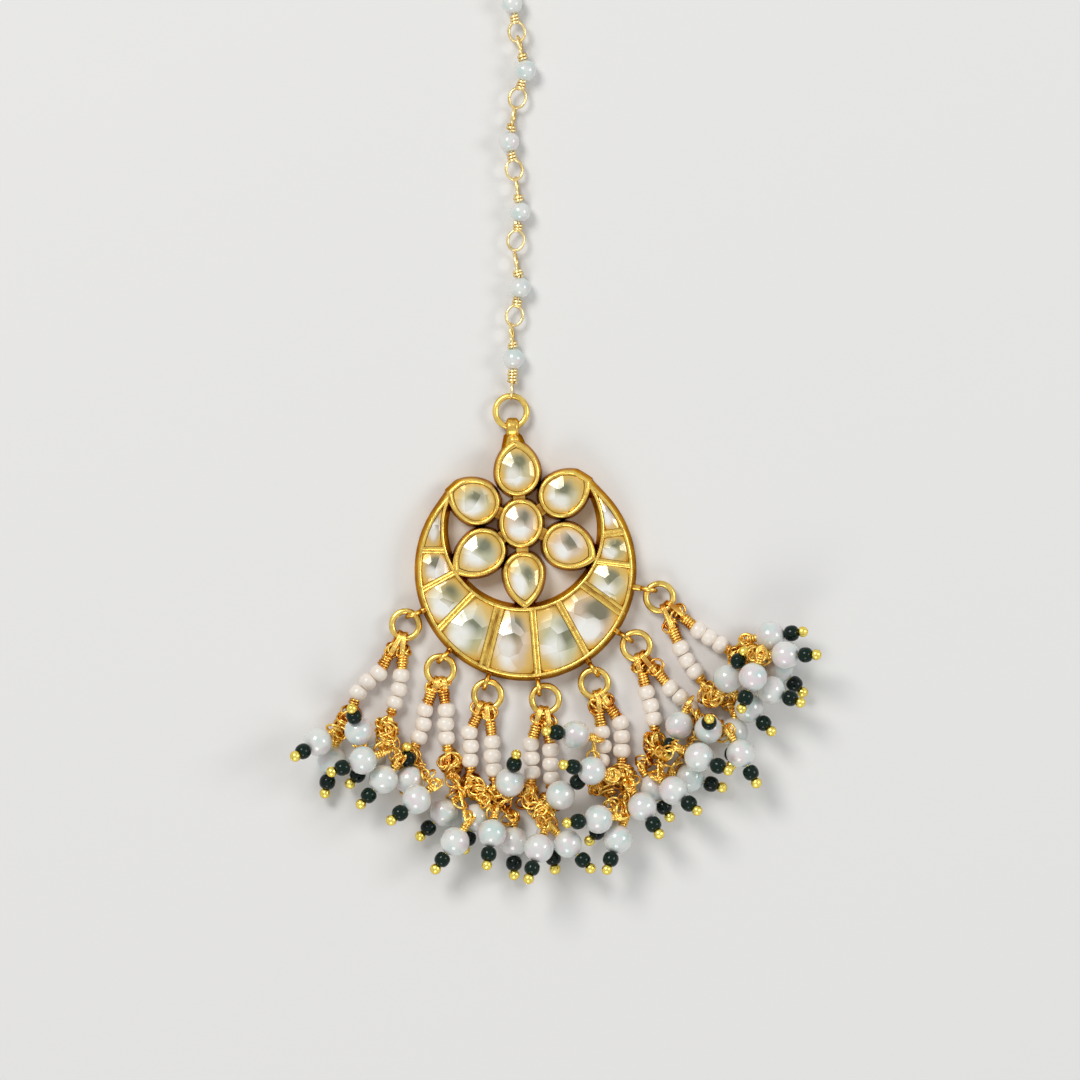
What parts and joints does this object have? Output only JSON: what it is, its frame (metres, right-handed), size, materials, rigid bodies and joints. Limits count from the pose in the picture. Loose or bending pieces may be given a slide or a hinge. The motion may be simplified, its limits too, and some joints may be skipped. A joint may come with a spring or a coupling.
{
  "type": "maang tikka",
  "caption": "Forehead jewel: a gold crescent with a six-petal flower set with foiled glass stones, a fringe of pearl drops and a beaded chain with a hair hook, lying flat.",
  "frame": {"origin": "centre of the crescent's outer circle, on the pendant's flat back plane", "axes": "+Y up the chain towards the hair hook, +X to the wearer's left as seen from the front, +Z out of the front face"},
  "size_m": [0.0712, 0.1405, 0.0102],
  "materials": {
    "gold": "polished gold plating",
    "stone": "cut glass over foil",
    "pearl": "pearl coating, with dark green glass and gold balls on the same pins",
    "seed_bead": "opaque glossy cream on gold wire"
  },
  "bodies": {
    "root": {"bead_strand_1a": "seed_bead", "bead_strand_1b": "seed_bead", "bead_strand_2a": "seed_bead", "bead_strand_2b": "seed_bead", "bead_strand_3a": "seed_bead", "bead_strand_3b": "seed_bead", "bead_strand_4a": "seed_bead", "bead_strand_4b": "seed_bead", "bead_strand_5a": "seed_bead", "bead_strand_5b": "seed_bead", "bead_strand_6a": "seed_bead", "bead_strand_6b": "seed_bead", "bead_strand_7a": "seed_bead", "bead_strand_7b": "seed_bead", "centre_stone": "stone", "chain": "pearl", "crescent_stone_01": "stone", "crescent_stone_02": "stone", "crescent_stone_03": "stone", "crescent_stone_04": "stone", "crescent_stone_05": "stone", "crescent_stone_06": "stone", "crescent_stone_07": "stone", "crescent_stone_08": "stone", "crescent_stone_09": "stone", "crescent_stone_10": "stone", "fringe_ring_1": "gold", "fringe_ring_2": "gold", "fringe_ring_3": "gold", "fringe_ring_4": "gold", "fringe_ring_5": "gold", "fringe_ring_6": "gold", "fringe_ring_7": "gold", "hair_hook": "gold", "pearl_cluster_1a": "pearl", "pearl_cluster_1b": "pearl", "pearl_cluster_2a": "pearl", "pearl_cluster_2b": "pearl", "pearl_cluster_3a": "pearl", "pearl_cluster_3b": "pearl", "pearl_cluster_4a": "pearl", "pearl_cluster_4b": "pearl", "pearl_cluster_5a": "pearl", "pearl_cluster_5b": "pearl", "pearl_cluster_6a": "pearl", "pearl_cluster_6b": "pearl", "pearl_cluster_7a": "pearl", "pearl_cluster_7b": "pearl", "pendant_frame": "gold", "petal_stone_bottom": "stone", "petal_stone_lower_left": "stone", "petal_stone_lower_right": "stone", "petal_stone_top": "stone", "petal_stone_upper_left": "stone", "petal_stone_upper_right": "stone", "top_ring": "gold"}
  },
  "joints": []
}
